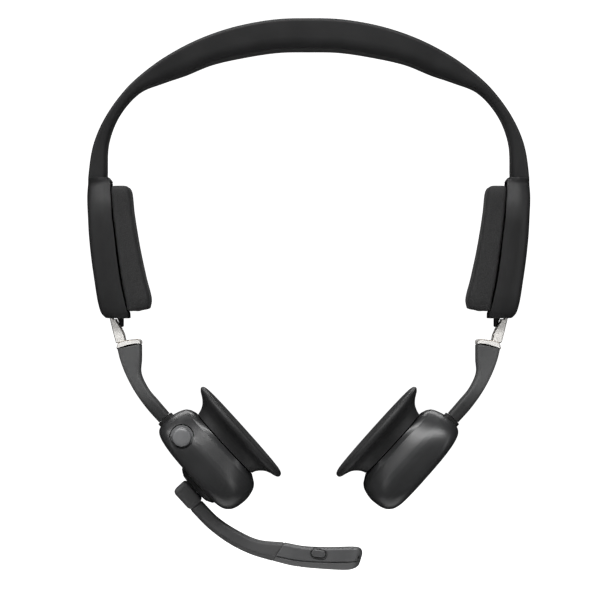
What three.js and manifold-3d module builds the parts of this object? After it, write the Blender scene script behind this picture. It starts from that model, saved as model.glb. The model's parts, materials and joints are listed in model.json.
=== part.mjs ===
// A bone conduction headset: a sprung headband, two sliding arms, two swivelling driver pods
// and a boom microphone on the left pod. Millimetres, +Z up, +Y the way the wearer faces.
// The origin is the middle of the crown's underside. Side pieces are built at negative X.
import * as THREE from 'three';
import { mergeVertices } from 'three/addons/utils/BufferGeometryUtils.js';
import { RoundedBoxGeometry } from 'three/addons/geometries/RoundedBoxGeometry.js';
import Module from 'manifold-3d';

const wasm = await Module();
wasm.setup();

// Fits and walls
const gap = 0.3;
const slideGap = 0.35;
const shellWall = 1.5;
const podWall = 1.8;

// Headband stations from the crown's middle to the side: outer x, z, inner x, z, half width
const bandHalf = [
  [0, 12.8, 0, 0.3, 14],
  [14, 12.3, 13, 0, 14],
  [30, 9.5, 28, -2.3, 13.6],
  [44, 5, 41, -5.4, 12.6],
  [56, -0.7, 52, -10, 11],
  [66, -7.1, 61, -13.1, 9.6],
  [76, -15.8, 71, -17.2, 8.8],
  [85, -28, 79.5, -26.8, 8.4],
  [90, -39.5, 84, -38.5, 8.2],
  [92.1, -52.8, 84.6, -52.8, 8.2],
  [92.6, -64, 85.4, -64, 8.2],
];
const bandEnd = 1 / (2 * bandHalf.length - 2);
const slotDepths = [1.5, 3.7];
const cableDepths = [1.8, 2.4];
const springDepths = [2.75, 3.4];
const foamTopDepth = 4;
const foamSkin = 2.4;

// Side housing stations from top to bottom: outer x, z, seam x, z, half width
const sideStations = [
  [-92.1, -53.1, -84.2, -53.1, 8.4],
  [-92.6, -60, -82.6, -58.5, 10.6],
  [-92.3, -68, -81.9, -68, 12],
  [-91.8, -77, -80.9, -77, 12.2],
  [-90.8, -87, -79.8, -87, 12.2],
  [-89.4, -97, -78.3, -97, 12],
  [-87.9, -106, -76.6, -105, 11.8],
  [-86.6, -110, -75.7, -109.6, 11.2],
  [-84.6, -111.8, -75.8, -111.9, 10],
];

// Cushion stations from top to bottom: seam x, z, face x, z, half width
const padStations = [
  [-82, -56.4, -77, -56.4, 9.8],
  [-81.9, -58, -75.2, -58, 10.8],
  [-81.2, -68, -74.2, -68, 11],
  [-79.8, -81, -72, -81, 11],
  [-77.8, -95, -69.2, -95, 11],
  [-75.9, -105, -66.9, -104.5, 10.8],
  [-75.3, -109.2, -69.5, -108.7, 9.8],
];

// Slide rail: a flat spring strip on a circle about the far side's centre
const railCentre = { x: 134, z: -62 };
const railRadius = 222.4;
const railHalfThick = 0.6;
const railHalfWidth = 4.5;
const railTopZ = -70;
const railFootZ = -112.6;
const railEndZ = -121.2;
const guideTopZ = -76;
const guideEndZ = -108;
const guideHalfThick = 1.6;
const guideHalfWidth = 5.8;
const notchCount = 5;
const notchPitch = 3.5;
const tongue = { x: -77.8, halfThick: 0.6, halfWidth: 3.5, endZ: -131 };

// Arm stations from the rail cap to the swivel: outer x, z, inner x, z, half width
const armStations = [
  [-80.1, -124.6, -70.2, -123.2, 7],
  [-78.9, -129.5, -70.2, -129.5, 6.9],
  [-76.6, -135.6, -70.4, -135, 6.6],
  [-73, -142.5, -67.4, -141.6, 6.2],
  [-68, -149.6, -63, -146.9, 5.7],
  [-62, -156.4, -58.4, -152.2, 5.2],
];
const wireRadius = 0.8;
const wireBore = 1.3;

// Pod frame: x runs down the pod, z points at the cheek
const podPlace = { x: -43.25, z: -171.15 };
const podTilt = THREE.MathUtils.degToRad(47.46);
const podSize = { x: 47.2, y: 32, z: 18.7 };
const podMiddle = { x: 0.8, z: 0.65 };
const podRound = 7.5;
const podOpening = { x: 0.8, halfX: 13.8, halfY: 8 };
const swivel = { x: -23, z: -1.1, pinRadius: 1.9, pinLength: 8 };
const driverX = 1;
const postRadius = 2.4;

// Contact cup stations along the pod's z: height, middle x, half length, half width
const cupStations = [
  [10.5, 0.8, 16.8, 12],
  [12.6, 0.9, 16.9, 12],
  [15, 1.2, 18.6, 13.2],
  [17, 1.5, 21.2, 15.2],
  [18.6, 1.8, 23.9, 17.2],
  [19.7, 1.9, 25, 18],
  [20.5, 1.9, 24.4, 17.5],
];

// Controls on the left pod
const callButton = { x: -13.7, z: -0.3, radius: 3.9, recess: 4.9, travel: 0.5 };
const hub = { x: 6, axleRadius: 3, baseTop: -9, baseBottom: -11.7 };

// Boom stations in the pod frame: upper x, z, lower x, z, half width
const stalkStations = [
  [12, -13.2, 12, -19.1, 4.3],
  [22, -12.8, 22.5, -18.7, 4.2],
  [32, -10.2, 33, -16.6, 4.2],
  [40, -6.7, 42, -13.1, 4.3],
  [48, 0.3, 50.1, -8.4, 4.5],
];
const micStations = [
  [48.4, 0.6, 50.4, -8.1, 4.5],
  [55, 5.6, 58, -3, 4.6],
  [62, 12.6, 66, 4, 4.6],
  [69.3, 20.8, 74.2, 12, 4.5],
  [72, 22.3, 76.4, 15, 4],
  [74.4, 20.6, 76.1, 17.6, 2.6],
];
const micSlope = Math.atan2(0.65, 0.76);
const muteButton = { x: 61, z: 8.3, halfLength: 3, halfHeight: 1.5, travel: 0.4 };

// Materials
const silicone = new THREE.MeshStandardMaterial({ color: 0x161617, roughness: 0.62, metalness: 0 });
const housing = new THREE.MeshStandardMaterial({ color: 0x1b1b1c, roughness: 0.5, metalness: 0 });
const cushion = new THREE.MeshStandardMaterial({ color: 0x1f1f20, roughness: 0.8, metalness: 0 });
const armPlastic = new THREE.MeshStandardMaterial({ color: 0x3a3b3d, roughness: 0.45, metalness: 0 });
const podPlastic = new THREE.MeshStandardMaterial({ color: 0x2a2a2b, roughness: 0.38, metalness: 0 });
const rubber = new THREE.MeshStandardMaterial({ color: 0x353637, roughness: 0.7, metalness: 0 });
const blackPart = new THREE.MeshStandardMaterial({ color: 0x0d0d0d, roughness: 0.5, metalness: 0 });
const steel = new THREE.MeshStandardMaterial({ color: 0xd8d6d2, roughness: 0.22, metalness: 1 });
const copper = new THREE.MeshStandardMaterial({ color: 0xb87333, roughness: 0.35, metalness: 1 });
const board = new THREE.MeshStandardMaterial({ color: 0x1d5a35, roughness: 0.55, metalness: 0 });
const foam = new THREE.MeshStandardMaterial({ color: 0x55565a, roughness: 0.95, metalness: 0 });
const wire = new THREE.MeshStandardMaterial({ color: 0x222222, roughness: 0.6, metalness: 0 });
const cell = new THREE.MeshStandardMaterial({ color: 0x8d9196, roughness: 0.35, metalness: 0.6 });

// Geometry to solid and back
function signedVolume(position, index) {
  const [a, b, c] = [new THREE.Vector3(), new THREE.Vector3(), new THREE.Vector3()];
  let sum = 0;
  for (let i = 0; i < index.length; i += 3) {
    a.fromBufferAttribute(position, index[i]);
    b.fromBufferAttribute(position, index[i + 1]);
    c.fromBufferAttribute(position, index[i + 2]);
    sum += a.dot(b.cross(c)) / 6;
  }
  return sum;
}

function toSolid(geometry) {
  const bare = geometry.clone();
  bare.deleteAttribute('normal');
  bare.deleteAttribute('uv');
  const merged = mergeVertices(bare, 1e-4);
  const kept = [];
  const index = merged.index.array;
  for (let i = 0; i < index.length; i += 3) {
    const [a, b, c] = [index[i], index[i + 1], index[i + 2]];
    if (a !== b && b !== c && c !== a) kept.push(a, b, c);
  }
  if (signedVolume(merged.attributes.position, kept) < 0) kept.reverse();
  const mesh = new wasm.Mesh({
    numProp: 3,
    vertProperties: new Float32Array(merged.attributes.position.array),
    triVerts: new Uint32Array(kept),
  });
  return new wasm.Manifold(mesh);
}

function toGeometry(solid) {
  const mesh = solid.getMesh();
  const geometry = new THREE.BufferGeometry();
  geometry.setAttribute('position', new THREE.BufferAttribute(new Float32Array(mesh.vertProperties), 3));
  geometry.setIndex(new THREE.BufferAttribute(new Uint32Array(mesh.triVerts), 1));
  geometry.computeVertexNormals();
  return geometry;
}

function piece(name, solid, material) {
  const mesh = new THREE.Mesh(toGeometry(solid), material);
  mesh.name = name;
  return mesh;
}

// Basic solids
function block(low, high) {
  const geometry = new THREE.BoxGeometry(high[0] - low[0], high[1] - low[1], high[2] - low[2]);
  geometry.translate((low[0] + high[0]) / 2, (low[1] + high[1]) / 2, (low[2] + high[2]) / 2);
  return toSolid(geometry);
}

function roundBlock(size, centre, radius, segments) {
  const geometry = new RoundedBoxGeometry(size.x, size.y, size.z, segments, radius);
  geometry.translate(centre.x, centre.y ?? 0, centre.z);
  return toSolid(geometry);
}

// A turned solid about the z axis through (x, 0): the profile lists radius and height
function turned(profile, x, sides = 14) {
  const geometry = new THREE.LatheGeometry(profile.map(([r, z]) => new THREE.Vector2(r, z)), sides);
  geometry.rotateX(Math.PI / 2);
  geometry.translate(x, 0, 0);
  return toSolid(geometry);
}

function disc(radius, low, high, x, sides = 14) {
  return turned([[0, low], [radius, low], [radius, high], [0, high]], x, sides);
}

// A cylinder along y
function plug(radius, lowY, highY, x, z, sides = 20) {
  const geometry = new THREE.CylinderGeometry(radius, radius, highY - lowY, sides);
  geometry.translate(x, (lowY + highY) / 2, z);
  return toSolid(geometry);
}

// A flat outline in the x-z plane, centred on y = 0
function slab(shape, halfWidth, curveSegments = 12) {
  const depth = 2 * halfWidth;
  const geometry = new THREE.ExtrudeGeometry(shape, { depth, bevelEnabled: false, curveSegments });
  geometry.rotateX(Math.PI / 2);
  geometry.translate(0, halfWidth, 0);
  return toSolid(geometry);
}

function outline(points) {
  return new THREE.Shape(points.map(([x, z]) => new THREE.Vector2(x, z)));
}

// A unit section, x towards the outer edge and y across; each side has its own corner reach
function section(outerCorner, innerCorner) {
  const shape = new THREE.Shape();
  const half = Math.PI / 2;
  shape.absellipse(1 - outerCorner[0], outerCorner[1] - 1, ...outerCorner, -half, 0, false, 0);
  shape.absellipse(1 - outerCorner[0], 1 - outerCorner[1], ...outerCorner, 0, half, false, 0);
  shape.absellipse(innerCorner[0] - 1, 1 - innerCorner[1], ...innerCorner, half, 2 * half, false, 0);
  shape.absellipse(innerCorner[0] - 1, innerCorner[1] - 1, ...innerCorner, 2 * half, 3 * half, false, 0);
  return shape;
}

const softSection = section([0.55, 0.3], [0.55, 0.3]);
const squareSection = outline([[1, -1], [1, 1], [-1, 1], [-1, -1]]);
const shellSection = section([0.75, 0.42], [0.08, 0.06]);
const padSection = section([0.08, 0.06], [0.5, 0.25]);

// A bar between an outer and an inner edge curve, both read from the same stations
class Bar {
  constructor(stations) {
    const outer = stations.map(([x, z, , , width]) => new THREE.Vector3(x, width, z));
    const inner = stations.map(([, , x, z, width]) => new THREE.Vector3(x, width, z));
    this.outer = new THREE.CatmullRomCurve3(outer, false, 'centripetal');
    this.inner = new THREE.CatmullRomCurve3(inner, false, 'centripetal');
  }

  // top and bottom are depths under the outer edge, width maps the station's half width
  solid(shape, steps, options = {}) {
    const { from = 0, to = 1, top = () => 0, bottom = (span) => span, width = (half) => half } = options;
    const curveSegments = options.curveSegments ?? 2;
    const settings = { depth: 1, steps, bevelEnabled: false, curveSegments };
    const geometry = new THREE.ExtrudeGeometry(shape, settings);
    const position = geometry.attributes.position;
    for (let i = 0; i < position.count; i += 1) {
      const along = from + (to - from) * position.getZ(i);
      const outer = this.outer.getPoint(along);
      const inner = this.inner.getPoint(along);
      const half = width(outer.y);
      outer.y = 0;
      inner.y = 0;
      const span = outer.distanceTo(inner);
      const depth = THREE.MathUtils.lerp(bottom(span), top(span), (position.getX(i) + 1) / 2);
      const point = outer.lerp(inner, depth / span);
      position.setXYZ(i, point.x, half * position.getY(i), point.z);
    }
    return toSolid(geometry);
  }
}

// Headband
function mirrored(half) {
  const other = half.slice(1).map(([ox, oz, ix, iz, width]) => [-ox, oz, -ix, iz, width]);
  return [...other.reverse(), ...half];
}

const band = new Bar(mirrored(bandHalf));

function headbandCover() {
  const ends = { from: bandEnd, to: 1 - bandEnd };
  const body = band.solid(softSection, 30, ends);
  const flatCut = block([-11, -20, -5], [11, 20, 0]);
  const slot = band.solid(squareSection, 20, {
    top: () => slotDepths[0], bottom: () => slotDepths[1], width: () => 5.4,
  });
  const pocket = band.solid(squareSection, 10, {
    from: 0.29, to: 0.71, top: () => slotDepths[1] - 0.5, bottom: (span) => span - foamSkin + gap,
    width: (half) => half - 4,
  });
  return body.subtract(flatCut).subtract(slot).subtract(pocket);
}

function springBand() {
  return band.solid(squareSection, 20, {
    top: () => springDepths[0], bottom: () => springDepths[1], width: () => 4.8,
  });
}

function linkCable() {
  return band.solid(squareSection, 20, {
    top: () => cableDepths[0], bottom: () => cableDepths[1], width: () => 2.6,
  });
}

function crownFoam() {
  return band.solid(squareSection, 10, {
    from: 0.3, to: 0.7, top: () => foamTopDepth, bottom: (span) => span - foamSkin,
    width: (half) => half - 4.4,
  });
}

// Slide rail geometry
function railPoint(z, offset) {
  const radius = railRadius + offset;
  return [railCentre.x - Math.sqrt(radius ** 2 - (z - railCentre.z) ** 2), z];
}

function railStrip(offset, topZ, endZ, steps) {
  const points = [];
  for (let i = 0; i <= steps; i += 1) points.push(railPoint(topZ + ((endZ - topZ) * i) / steps, offset));
  return points;
}

function slideRail() {
  const outer = railStrip(railHalfThick, railTopZ, railEndZ, 14);
  const inner = railStrip(-railHalfThick, railTopZ, railFootZ, 10).reverse();
  const foot = [[-77, railEndZ + 0.2], [-77.4, -118.6], [-78.7, -116.2], [-80.6, -114.2]];
  const body = slab(outline([...outer, ...foot, ...inner]), railHalfWidth);
  const peg = block(
    [tongue.x - tongue.halfThick, -tongue.halfWidth, tongue.endZ],
    [tongue.x + tongue.halfThick, tongue.halfWidth, railEndZ + 0.6],
  );
  let rail = body.add(peg);
  for (let i = 0; i < notchCount; i += 1) {
    const [x, z] = railPoint(-77 - i * notchPitch, -railHalfThick - 0.35);
    rail = rail.subtract(plug(0.7, -2, 2, x, z, 8));
  }
  return rail;
}

function slideGuide() {
  const wall = [
    ...railStrip(guideHalfThick, guideTopZ, guideEndZ, 6),
    ...railStrip(-guideHalfThick, guideTopZ, guideEndZ, 6).reverse(),
  ];
  const reach = railHalfThick + slideGap;
  const slot = [
    ...railStrip(reach, guideTopZ + 1, guideEndZ - 1, 14),
    ...railStrip(-reach, guideTopZ + 1, guideEndZ - 1, 14).reverse(),
  ];
  const window = block([-86.9, -3.2, -98], [-80, 3.2, -88]);
  return slab(outline(wall), guideHalfWidth)
    .subtract(slab(outline(slot), railHalfWidth + slideGap))
    .subtract(window);
}

function detentSpring() {
  const near = -guideHalfThick - gap;
  const leaf = [
    ...railStrip(near, -82, -104, 4),
    ...railStrip(near - 0.5, -82, -104, 4).reverse(),
  ];
  const [x, z] = railPoint(-93, -guideHalfThick - 0.35);
  return slab(outline(leaf), 2.6).add(plug(0.75, -2, 2, x, z, 10));
}

// Side housing
const side = new Bar(sideStations);

function sideShell() {
  const outside = side.solid(shellSection, 12, {});
  const cavity = side.solid(shellSection, 8, {
    from: 0.11, to: 0.89, top: () => shellWall, bottom: (span) => span + 3, width: (half) => half - 1.6,
    curveSegments: 1,
  });
  const strapSlot = block([-91.4, -5.6, -62], [-87.9, 5.6, -50]);
  const [exitX] = railPoint(-111.5, 0);
  const exitHalf = railHalfThick + 0.7;
  const railExit = block(
    [exitX - exitHalf, -railHalfWidth - slideGap, -114],
    [exitX + exitHalf, railHalfWidth + slideGap, -106],
  );
  return outside.subtract(cavity).subtract(strapSlot).subtract(railExit);
}

function sideCover() {
  const plate = side.solid(squareSection, 10, {
    from: 0.13, to: 0.87, top: (span) => span - 1.8, bottom: (span) => span - 0.3,
    width: (half) => half - 2.2,
  });
  return plate.subtract(screwSpace(0.3));
}

function screwSpace(margin) {
  const geometry = new THREE.CylinderGeometry(1.6 + margin, 1.6 + margin, 20, 16);
  geometry.rotateZ(Math.PI / 2);
  geometry.translate(-83, 0, -63);
  return toSolid(geometry);
}

function coverScrew() {
  const profile = [[0, 0], [2.4, 0], [2.4, 1], [1.2, 1.4], [1.2, 4.4], [0, 4.4]];
  const geometry = new THREE.LatheGeometry(profile.map(([r, z]) => new THREE.Vector2(r, z)), 16);
  geometry.rotateZ(Math.PI / 2);
  geometry.translate(-84.6, 0, -63);
  return toSolid(geometry);
}

function templePad() {
  const pad = new Bar(padStations);
  return pad.solid(padSection, 10, {});
}

function cableGuard() {
  const wedge = [[-81.3, -112.3], [-77.9, -112.3], [-77.9, -115.2], [-78.6, -115.4], [-80, -113.9]];
  return slab(outline(wedge), 3.4);
}

// Arm
const arm = new Bar(armStations);
const armRoute = new THREE.CatmullRomCurve3([
  new THREE.Vector3(-73.8, 0, -122),
  new THREE.Vector3(-74.2, 0, -129),
  new THREE.Vector3(-72.6, 0, -137),
  new THREE.Vector3(-69.6, 0, -143.2),
  new THREE.Vector3(-66.9, 0, -146.8),
]);

function routeTube(route, radius, sides, steps) {
  const shape = new THREE.Shape();
  shape.absarc(0, 0, radius, 0, Math.PI * 2, false);
  return toSolid(new THREE.ExtrudeGeometry(shape, {
    steps, extrudePath: route, curveSegments: sides / 2, bevelEnabled: false,
  }));
}

function tongueSpace() {
  return block(
    [tongue.x - tongue.halfThick - gap, -tongue.halfWidth - gap, tongue.endZ - gap],
    [tongue.x + tongue.halfThick + gap, tongue.halfWidth + gap, -118],
  );
}

// The swivel's axis in the side's frame, from a turned solid about z in the pod frame
function alongSwivel(geometry) {
  geometry.rotateY(Math.PI / 2);
  geometry.translate(swivel.x, 0, swivel.z);
  return geometry;
}

function toSideFrame(geometry) {
  geometry.rotateY(podTilt);
  geometry.translate(podPlace.x, 0, podPlace.z);
  return geometry;
}

function swivelCylinder(radius, low, high) {
  const geometry = new THREE.CylinderGeometry(radius, radius, high - low, 16);
  geometry.rotateX(Math.PI / 2);
  geometry.translate(0, 0, (low + high) / 2);
  return alongSwivel(geometry);
}

function armShell() {
  const bore = toSolid(toSideFrame(swivelCylinder(swivel.pinRadius + gap, -swivel.pinLength - 3, 3)));
  const endCut = toSideFrame(alongSwivel(new THREE.BoxGeometry(24, 24, 10).translate(0, 0, 5 - gap - 1)));
  return arm.solid(softSection, 10, {})
    .subtract(toSolid(endCut))
    .subtract(routeTube(armRoute, wireBore, 8, 10))
    .subtract(tongueSpace())
    .subtract(bore);
}

function armWire() {
  return routeTube(armRoute, wireRadius, 8, 10);
}

function railCap() {
  const plate = [
    [-79.4, -121.5], [-75, -121.5], [-72, -121.2], [-70.2, -122.8], [-70.4, -123], [-73, -122.9],
    [-76, -123.3], [-80, -124.3], [-80, -122.2],
  ];
  const wireHole = block([-75.4, -1.6, -126], [-72.2, 1.6, -119]);
  return slab(outline(plate), 6.8).subtract(tongueSpace()).subtract(wireHole);
}

// Pod pieces, in the pod frame
function swivelPin() {
  const head = toSolid(swivelCylinder(2.8, 3.4, 4.6));
  return toSolid(swivelCylinder(swivel.pinRadius, -swivel.pinLength, 3.6)).add(head);
}

function podCollar() {
  const ring = roundBlock({ x: 1, y: 11, z: 8 }, { x: swivel.x - 0.65, z: swivel.z }, 0.45, 1);
  return ring.subtract(toSolid(swivelCylinder(swivel.pinRadius + gap, -4, 4)));
}

function podOutside() {
  return roundBlock(podSize, podMiddle, podRound, 3);
}

function podShell(isLeft) {
  const inner = {
    x: podSize.x - 2 * podWall, y: podSize.y - 2 * podWall, z: podSize.z - 2 * podWall,
  };
  const cavity = roundBlock(inner, podMiddle, podRound - podWall, 1);
  const opening = lidPlate(gap, 6, 12);
  const pinHole = toSolid(swivelCylinder(swivel.pinRadius + gap, -4, 4));
  let shell = podOutside().subtract(cavity).subtract(opening).subtract(pinHole);
  if (!isLeft) return shell.subtract(portSpace(gap));
  shell = shell.subtract(plug(callButton.recess, -20, -15.1, callButton.x, callButton.z));
  shell = shell.subtract(plug(callButton.radius + gap, -20, -12, callButton.x, callButton.z));
  shell = shell.subtract(plug(callButton.radius + 1.3, -14, -9, callButton.x, callButton.z));
  return shell.subtract(disc(hub.axleRadius + gap, -12, -5, hub.x));
}

function lidPlate(margin, low, high) {
  const halfX = podOpening.halfX + margin;
  const halfY = podOpening.halfY + margin;
  const shape = new THREE.Shape();
  const corner = 4;
  const half = Math.PI / 2;
  shape.absarc(halfX - corner, corner - halfY, corner, -half, 0, false);
  shape.absarc(halfX - corner, halfY - corner, corner, 0, half, false);
  shape.absarc(corner - halfX, halfY - corner, corner, half, 2 * half, false);
  shape.absarc(corner - halfX, corner - halfY, corner, 2 * half, 3 * half, false);
  const geometry = new THREE.ExtrudeGeometry(shape, {
    depth: high - low, bevelEnabled: false, curveSegments: 2,
  });
  geometry.translate(podOpening.x, 0, low);
  return toSolid(geometry);
}

function podLid() {
  return lidPlate(0, 8.4, 9.9).subtract(disc(postRadius + 0.8, 6, 12, driverX));
}

function contactCup() {
  const circle = new THREE.Shape();
  circle.absarc(0, 0, 1, 0, Math.PI * 2, false);
  const steps = cupStations.length - 1;
  const geometry = new THREE.ExtrudeGeometry(circle, { depth: steps, steps, bevelEnabled: false, curveSegments: 16 });
  const position = geometry.attributes.position;
  for (let i = 0; i < position.count; i += 1) {
    const [height, middle, halfLength, halfWidth] = cupStations[Math.round(position.getZ(i))];
    const x = middle + halfLength * position.getX(i);
    position.setXYZ(i, x, halfWidth * position.getY(i), height);
  }
  return toSolid(geometry).subtract(disc(7.4, 9, 16.6, driverX));
}

function driverYoke() {
  const profile = [[0, -2], [8.6, -2], [8.6, 4], [7.4, 4], [7.4, -0.6], [4.6, -0.6], [4.6, 4], [0, 4]];
  return turned(profile, driverX);
}

function driverCoil() {
  return turned([[5, 0.4], [7, 0.4], [7, 5.2], [5, 5.2], [5, 0.4]], driverX);
}

function driverPlate() {
  const profile = [
    [0, 5.6], [8.4, 5.6], [8.4, 6.3], [postRadius, 6.3], [postRadius, 12],
    [6.8, 12], [6.8, 15.6], [0, 15.6],
  ];
  return turned(profile, driverX);
}

function battery() {
  return roundBlock({ x: 8.4, y: 18, z: 7 }, { x: 15.6, z: 0.5 }, 1, 1);
}

function mainBoard() {
  return block([-19, -9, 3], [-9.6, 9, 4]);
}

function portSpace(margin) {
  return block([-13 - margin, 9, -2 - margin], [-5 + margin, 18, 2 + margin]);
}

function chargePort() {
  const body = block([-13, 11, -2], [-5, 15.9, 2]);
  return body.subtract(block([-12, 12.5, -1.1], [-6, 17, 1.1]));
}

// Call button and boom, in the pod frame
function callButtonPiece() {
  const { x, z, radius } = callButton;
  return plug(radius, -16.2, -13, x, z).add(plug(radius + 0.9, -13.7, -13, x, z));
}

function callSwitch() {
  const { x, z } = callButton;
  return block([x - 2, -12.4, z - 2], [x + 2, -10.6, z + 2]);
}

function boomBase() {
  const { x, axleRadius, baseTop, baseBottom } = hub;
  const bore = axleRadius + gap;
  return turned([[bore, baseTop], [10, baseTop], [7.4, baseBottom], [bore, baseBottom], [bore, baseTop]], x);
}

function boomAxle() {
  const { x, axleRadius } = hub;
  const profile = [
    [0, -15], [axleRadius, -15], [axleRadius, -5.2], [2.4, -5.2], [2.4, -4.4],
    [axleRadius, -4.4], [axleRadius, -3.4], [0, -3.4],
  ];
  return turned(profile, x);
}

function boomClip() {
  const profile = [[2.7, -5.05], [5, -5.05], [5, -4.55], [2.7, -4.55], [2.7, -5.05]];
  return turned(profile, hub.x);
}

function boomHead() {
  const body = roundBlock({ x: 11, y: 10.4, z: 7.2 }, { x: 6.1, z: -15.65 }, 2.4, 2);
  return body.subtract(disc(hub.axleRadius + gap, -15.3, -10, hub.x));
}

const stalk = new Bar(stalkStations);
const mic = new Bar(micStations);
const boomSection = section([0.35, 0.3], [0.5, 0.45]);

function boomStalk() {
  return stalk.solid(boomSection, 10, {});
}

function micCase() {
  const outside = mic.solid(boomSection, 10, {});
  const cavity = mic.solid(squareSection, 5, {
    to: 0.66, top: () => 1.6, bottom: (span) => span - 1.6, width: (half) => half - 1.6,
  });
  return outside.subtract(cavity.translate([-0.3, 0, -0.3]))
    .subtract(mutePlate(gap, -6, -2.5))
    .subtract(mutePlate(0.7, -3.4, 0.6))
    .subtract(plug(0.65, -0.9, 0.9, 0, 0, 10).rotate([90, 0, 0]).translate([59.9, 0, -1.4]))
    .subtract(tipHole());
}

function tipHole() {
  const geometry = new THREE.CylinderGeometry(0.7, 0.7, 14, 10);
  geometry.rotateZ(-Math.PI / 2);
  geometry.rotateY(-micSlope);
  geometry.translate(70, 0, 15.5);
  return toSolid(geometry);
}

// A round-ended bar lying along the microphone case
function mutePlate(margin, lowY, highY) {
  const { x, z, halfLength, halfHeight } = muteButton;
  const radius = halfHeight + margin;
  const reach = halfLength - halfHeight;
  const shape = new THREE.Shape();
  shape.absarc(reach, 0, radius, -Math.PI / 2, Math.PI / 2, false);
  shape.absarc(-reach, 0, radius, Math.PI / 2, 1.5 * Math.PI, false);
  const geometry = new THREE.ExtrudeGeometry(shape, {
    depth: highY - lowY, bevelEnabled: false, curveSegments: 5,
  });
  geometry.rotateX(Math.PI / 2);
  geometry.translate(0, highY, 0);
  geometry.rotateY(-micSlope);
  geometry.translate(x, 0, z);
  return toSolid(geometry);
}

function muteButtonPiece() {
  return mutePlate(0, -4.9, -2.2).add(mutePlate(0.4, -2.9, -2.2));
}

function muteSwitch() {
  const { x, z } = muteButton;
  return block([x - 1.2, -1.7, z - 1.2], [x + 1.2, -0.7, z + 1.2]);
}

function boomBoard() {
  const geometry = new THREE.BoxGeometry(14, 0.8, 4);
  geometry.rotateY(-micSlope);
  geometry.translate(61, 0, 5.6);
  return toSolid(geometry);
}

// Assembly
const headset = new THREE.Group();
headset.add(
  piece('headband_cover', headbandCover(), silicone),
  piece('spring_band', springBand(), steel),
  piece('link_cable', linkCable(), wire),
  piece('crown_foam', crownFoam(), foam),
);

function podPieces(label, isLeft) {
  const pod = new THREE.Group();
  pod.position.set(podPlace.x, 0, podPlace.z);
  pod.rotation.y = podTilt;
  pod.add(
    piece(`${label}_swivel_pin`, swivelPin(), steel),
    piece(`${label}_pod_collar`, podCollar(), blackPart),
    piece(`${label}_pod_shell`, podShell(isLeft), podPlastic),
    piece(`${label}_pod_lid`, podLid(), blackPart),
    piece(`${label}_contact_cup`, contactCup(), rubber),
    piece(`${label}_driver_yoke`, driverYoke(), steel),
    piece(`${label}_driver_coil`, driverCoil(), copper),
    piece(`${label}_driver_plate`, driverPlate(), steel),
  );
  return pod;
}

function sidePieces(label) {
  return [
    piece(`${label}_side_shell`, sideShell(), housing),
    piece(`${label}_side_cover`, sideCover(), blackPart),
    piece(`${label}_cover_screw`, coverScrew(), steel),
    piece(`${label}_temple_pad`, templePad(), cushion),
    piece(`${label}_slide_guide`, slideGuide(), blackPart),
    piece(`${label}_detent_spring`, detentSpring(), steel),
    piece(`${label}_cable_guard`, cableGuard(), blackPart),
    piece(`${label}_slide_rail`, slideRail(), steel),
    piece(`${label}_rail_cap`, railCap(), steel),
    piece(`${label}_arm_shell`, armShell(), armPlastic),
    piece(`${label}_arm_wire`, armWire(), wire),
  ];
}

function leftPod() {
  const pod = podPieces('left', true);
  pod.add(
    piece('main_board', mainBoard(), board),
    piece('call_button', callButtonPiece(), podPlastic),
    piece('call_switch', callSwitch(), steel),
    piece('boom_base', boomBase(), blackPart),
    piece('boom_axle', boomAxle(), steel),
    piece('boom_clip', boomClip(), steel),
    piece('boom_head', boomHead(), podPlastic),
    piece('boom_stalk', boomStalk(), rubber),
    piece('mic_case', micCase(), podPlastic),
    piece('mute_button', muteButtonPiece(), rubber),
    piece('mute_switch', muteSwitch(), steel),
    piece('boom_board', boomBoard(), board),
  );
  return pod;
}

function rightPod() {
  const pod = podPieces('right', false);
  pod.add(
    piece('battery', battery(), cell),
    piece('charge_port', chargePort(), blackPart),
  );
  return pod;
}

const leftSide = new THREE.Group();
leftSide.add(...sidePieces('left'), leftPod());

const rightSide = new THREE.Group();
rightSide.scale.x = -1;
rightSide.add(...sidePieces('right'), rightPod());

headset.add(leftSide, rightSide);

export default headset;
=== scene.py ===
import json
import math

import bmesh
import bpy
from mathutils import Matrix, Vector


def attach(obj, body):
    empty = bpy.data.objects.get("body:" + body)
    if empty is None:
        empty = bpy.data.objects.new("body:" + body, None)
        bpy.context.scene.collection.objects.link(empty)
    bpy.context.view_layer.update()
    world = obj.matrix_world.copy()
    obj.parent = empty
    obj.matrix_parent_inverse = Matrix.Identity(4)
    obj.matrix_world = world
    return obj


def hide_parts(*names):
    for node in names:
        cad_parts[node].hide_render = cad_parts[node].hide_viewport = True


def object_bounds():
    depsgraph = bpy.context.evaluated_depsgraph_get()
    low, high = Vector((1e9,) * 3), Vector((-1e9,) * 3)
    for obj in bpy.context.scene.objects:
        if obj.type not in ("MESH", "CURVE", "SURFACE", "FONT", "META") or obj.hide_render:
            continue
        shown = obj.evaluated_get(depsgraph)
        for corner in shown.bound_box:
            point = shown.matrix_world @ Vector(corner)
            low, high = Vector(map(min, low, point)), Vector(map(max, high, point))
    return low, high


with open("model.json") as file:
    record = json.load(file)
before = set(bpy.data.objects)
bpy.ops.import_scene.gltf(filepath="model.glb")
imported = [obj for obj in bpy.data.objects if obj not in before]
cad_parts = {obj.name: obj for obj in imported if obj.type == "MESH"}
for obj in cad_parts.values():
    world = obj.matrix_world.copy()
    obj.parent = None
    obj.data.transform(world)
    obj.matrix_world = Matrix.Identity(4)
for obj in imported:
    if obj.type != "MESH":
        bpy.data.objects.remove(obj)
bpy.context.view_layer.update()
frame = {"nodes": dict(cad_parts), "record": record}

mm = 0.001
print("frame loaded:", len(frame["nodes"]), "nodes")


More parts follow.
